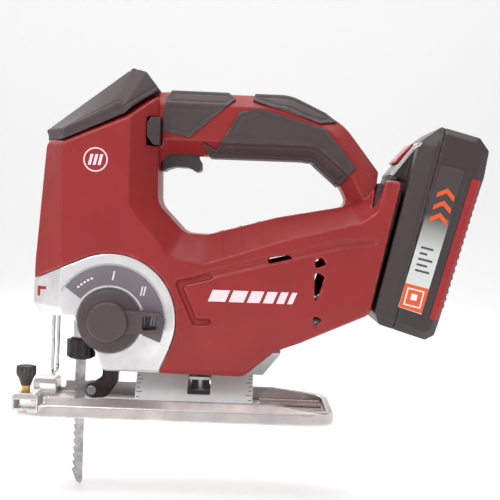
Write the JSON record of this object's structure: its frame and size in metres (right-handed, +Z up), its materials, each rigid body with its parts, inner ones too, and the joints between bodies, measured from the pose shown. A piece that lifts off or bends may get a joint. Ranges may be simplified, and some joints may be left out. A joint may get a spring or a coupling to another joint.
{
  "type": "cordless jigsaw",
  "caption": "Handheld cordless jigsaw with a closed D-handle, tilting cast sole, orbit dial, reciprocating blade and a slide-off battery pack.",
  "frame": {"origin": "on the underside of the sole, half way along it and in the plane of the blade", "axes": "+X back towards the battery, +Y towards the side without the orbit dial, +Z up along the plunger"},
  "size_m": [0.2404, 0.0835, 0.2254],
  "materials": {
    "red_plastic": "satin moulded, fine spark texture",
    "cast_cover": "fine silver lacquer over a die casting",
    "cast_aluminium": "die cast, satin",
    "steel": "turned",
    "soft_grip": "soft touch, fine texture",
    "bronze": "sintered",
    "zinc_steel": "zinc plated",
    "dark_plastic": "moulded",
    "copper": "bright",
    "brass": "satin",
    "gear_steel": "hardened",
    "laminations": "stacked, varnished",
    "dark_steel": "blackened",
    "blade_steel": "rolled, worn",
    "dial_plastic": "moulded",
    "cell_wrap": "shrink wrap",
    "board": "lacquered",
    "red_trim": "ribbed",
    "label_film": "printed film, plain"
  },
  "bodies": {
    "tool": {"housing_left": "red_plastic", "housing_right": "red_plastic", "gear_cover_left": "cast_cover", "gear_cover_right": "cast_cover", "housing_screws": "steel", "nose_pad": "soft_grip", "grip_left": "soft_grip", "grip_right": "soft_grip", "grip_crest": "soft_grip", "gear_case": "cast_aluminium", "lower_bush": "bronze", "upper_bush": "bronze", "gear_axle": "steel", "front_bearing": "steel", "rear_bearing": "steel", "bevel_foot": "cast_aluminium", "bevel_screw": "steel", "bevel_washer": "steel", "motor_can": "zinc_steel", "brush_cap": "dark_plastic", "arm_pin": "steel", "dial_scale": "dark_plastic", "switch_module": "dark_plastic", "battery_dock": "dark_plastic", "dock_contacts": "copper", "wire_guard": "steel"},
    "sole": {"sole": "cast_aluminium", "bevel_hump": "cast_aluminium", "fence_block_left": "cast_aluminium", "fence_block_right": "cast_aluminium"},
    "fence_knob": {"fence_knob": "dark_plastic", "fence_screw": "brass"},
    "gear": {"main_gear": "gear_steel", "crank_pin": "steel"},
    "rotor": {"rotor_shaft": "steel", "armature": "laminations", "commutator": "copper", "cooling_fan": "dark_plastic", "pinion": "gear_steel"},
    "plunger": {"plunger": "steel", "yoke": "gear_steel", "chuck": "dark_steel", "saw_blade": "blade_steel"},
    "collar": {"chuck_collar": "dark_steel"},
    "arm": {"pendulum_arm": "steel", "roller_pin": "steel"},
    "roller": {"support_roller": "gear_steel"},
    "dial": {"orbit_dial": "dial_plastic"},
    "trigger": {"trigger": "dark_plastic"},
    "lock_button": {"lock_button": "dark_plastic"},
    "battery": {"battery_front": "dark_plastic", "battery_rear": "dark_plastic", "battery_cells": "cell_wrap", "cell_holder": "dark_plastic", "battery_board": "board", "battery_strips": "red_trim", "battery_labels": "label_film"},
    "release_button": {"release_button": "red_trim"}
  },
  "joints": [
    {"name": "bevel_tilt", "type": "hinge", "parent": "tool", "child": "sole", "pos_m": [0, 0, 0], "axis": [1, 0, 0], "range_deg": [-45, 45]},
    {"name": "fence_knob_turn", "type": "hinge", "parent": "sole", "child": "fence_knob", "pos_m": [-0.078, -0.03, 0.015], "axis": [0, 0, 1], "range_deg": [0, 360]},
    {"name": "gear_spin", "type": "hinge", "parent": "tool", "child": "gear", "pos_m": [-0.033, 0, 0.082], "axis": [1, 0, 0], "continuous": true},
    {"name": "rotor_spin", "type": "hinge", "parent": "tool", "child": "rotor", "pos_m": [0.012, 0, 0.058], "axis": [1, 0, 0], "continuous": true},
    {"name": "blade_stroke", "type": "slide", "parent": "tool", "child": "plunger", "axis": [0, 0, 1], "range_m": [-0.012, 0.012]},
    {"name": "collar_twist", "type": "hinge", "parent": "plunger", "child": "collar", "pos_m": [-0.054, 0, 0.032], "axis": [0, 0, 1], "range_deg": [0, 60], "stiffness_Nm_per_rad": 0.02},
    {"name": "arm_swing", "type": "hinge", "parent": "tool", "child": "arm", "pos_m": [-0.035, 0, 0.044], "axis": [0, -1, 0], "range_deg": [0, 4]},
    {"name": "roller_spin", "type": "hinge", "parent": "arm", "child": "roller", "pos_m": [-0.0472, 0, 0.01], "axis": [0, 1, 0], "continuous": true},
    {"name": "dial_turn", "type": "hinge", "parent": "tool", "child": "dial", "pos_m": [-0.0355, -0.04, 0.0505], "axis": [0, -1, 0], "range_deg": [0, 126]},
    {"name": "trigger_pull", "type": "slide", "parent": "tool", "child": "trigger", "axis": [0, 0, 1], "range_m": [0, 0.006], "stiffness_N_per_m": 600},
    {"name": "lock_press", "type": "slide", "parent": "tool", "child": "lock_button", "axis": [0, 1, 0], "range_m": [0, 0.004], "stiffness_N_per_m": 400},
    {"name": "battery_slide", "type": "slide", "parent": "tool", "child": "battery", "axis": [0.2164, 0, 0.9763], "range_m": [0, 0.09]},
    {"name": "release_press", "type": "slide", "parent": "battery", "child": "release_button", "axis": [0.9763, 0, -0.2164], "range_m": [0, 0.003], "stiffness_N_per_m": 500}
  ],
  "couplings": [
    {"joint": "rotor_spin", "follows": "gear_spin", "ratio": -7}
  ]
}
